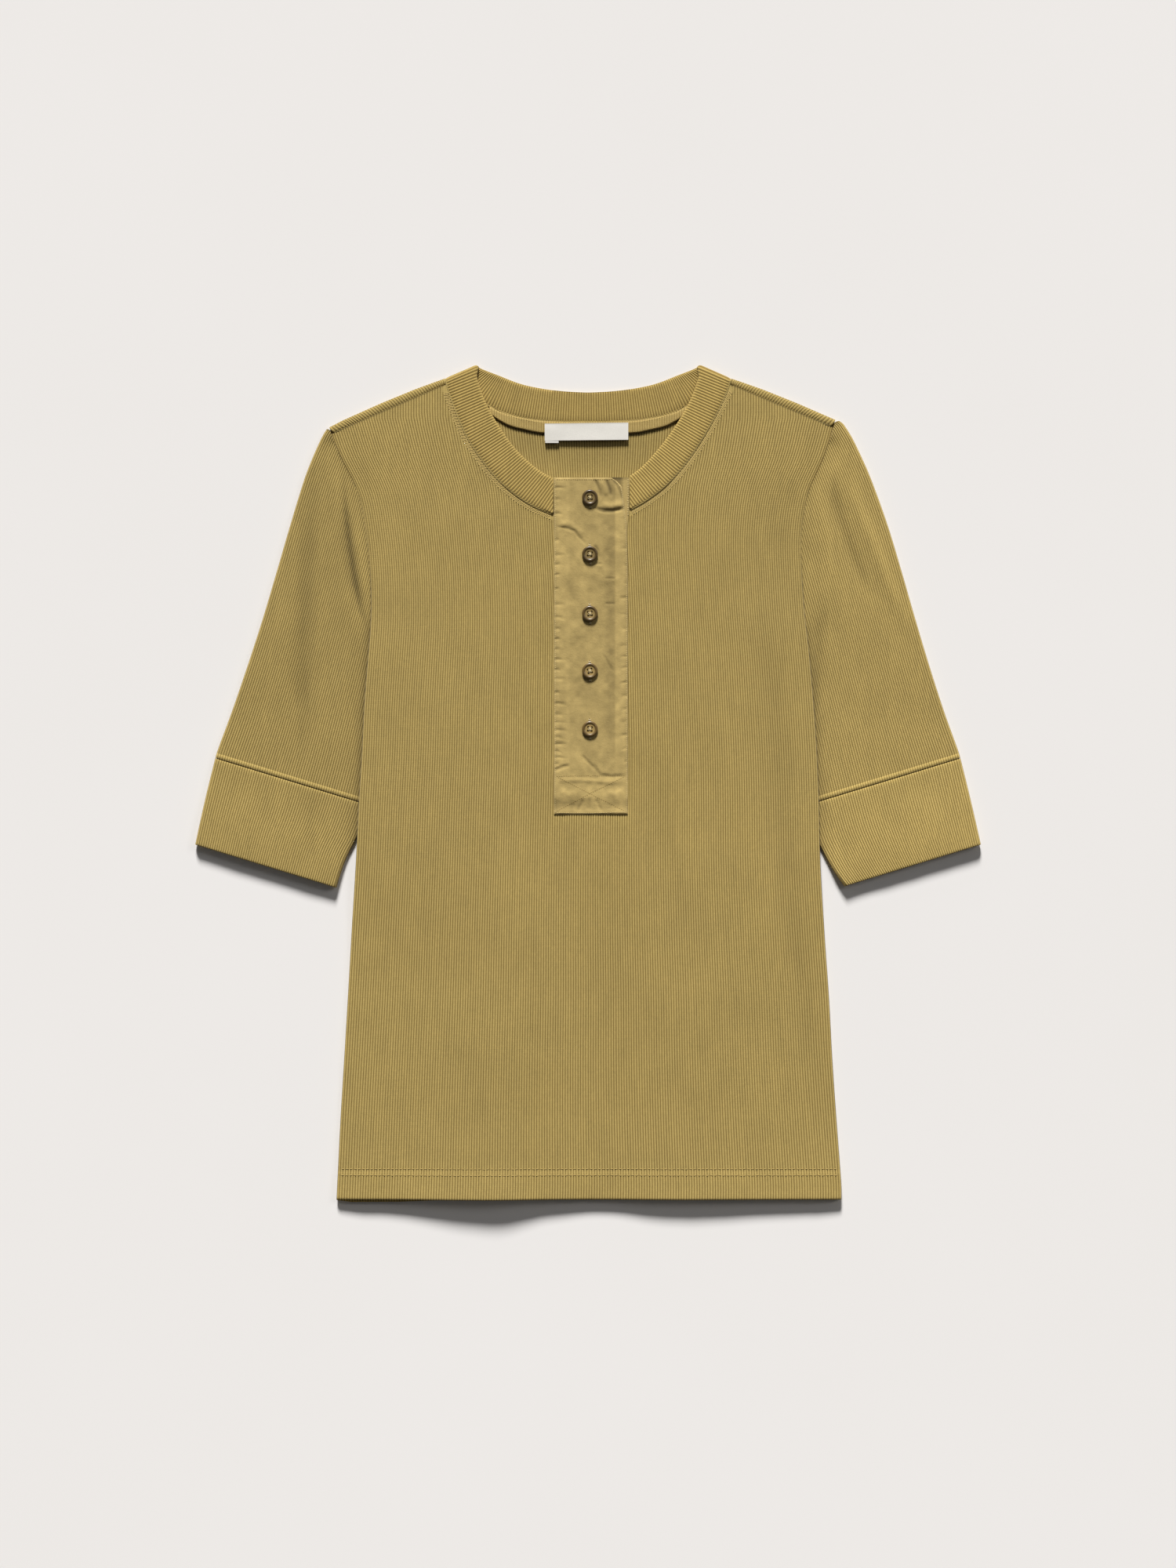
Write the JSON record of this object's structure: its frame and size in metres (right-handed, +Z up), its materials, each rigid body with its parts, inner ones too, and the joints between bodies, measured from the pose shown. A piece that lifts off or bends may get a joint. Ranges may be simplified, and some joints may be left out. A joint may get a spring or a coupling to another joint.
{
  "type": "henley shirt",
  "caption": "Ribbed knit henley shirt laid flat, with cuffed elbow-length sleeves, a ribbed neckband and a short woven button placket",
  "frame": {"origin": "centre of the footprint, on the surface that the shirt lies on", "axes": "+X to the wearer's left, +Y from hem to neck, +Z up through the front"},
  "size_m": [0.5737, 0.6113, 0.0098],
  "materials": {
    "rib_knit": "garment-dyed rib knit cotton, matt, olive ochre",
    "band_knit": "rib knit cotton, matt, folded double",
    "placket_twill": "washed woven cotton, matt, slightly lighter than the knit",
    "neck_tape": "matt cotton tape",
    "neck_label": "bare cream woven label",
    "buttons": "dark olive-brown resin, satin, four holes"
  },
  "bodies": {
    "root": {"front_body": "rib_knit", "back_body": "rib_knit", "sleeve_right": "rib_knit", "sleeve_left": "rib_knit", "cuff_right": "rib_knit", "cuff_left": "rib_knit", "neckband": "band_knit", "neck_tape": "neck_tape", "neck_label": "neck_label", "placket_under": "placket_twill", "placket_top": "placket_twill", "button_1": "buttons", "button_2": "buttons", "button_3": "buttons", "button_4": "buttons", "button_5": "buttons"}
  },
  "joints": []
}
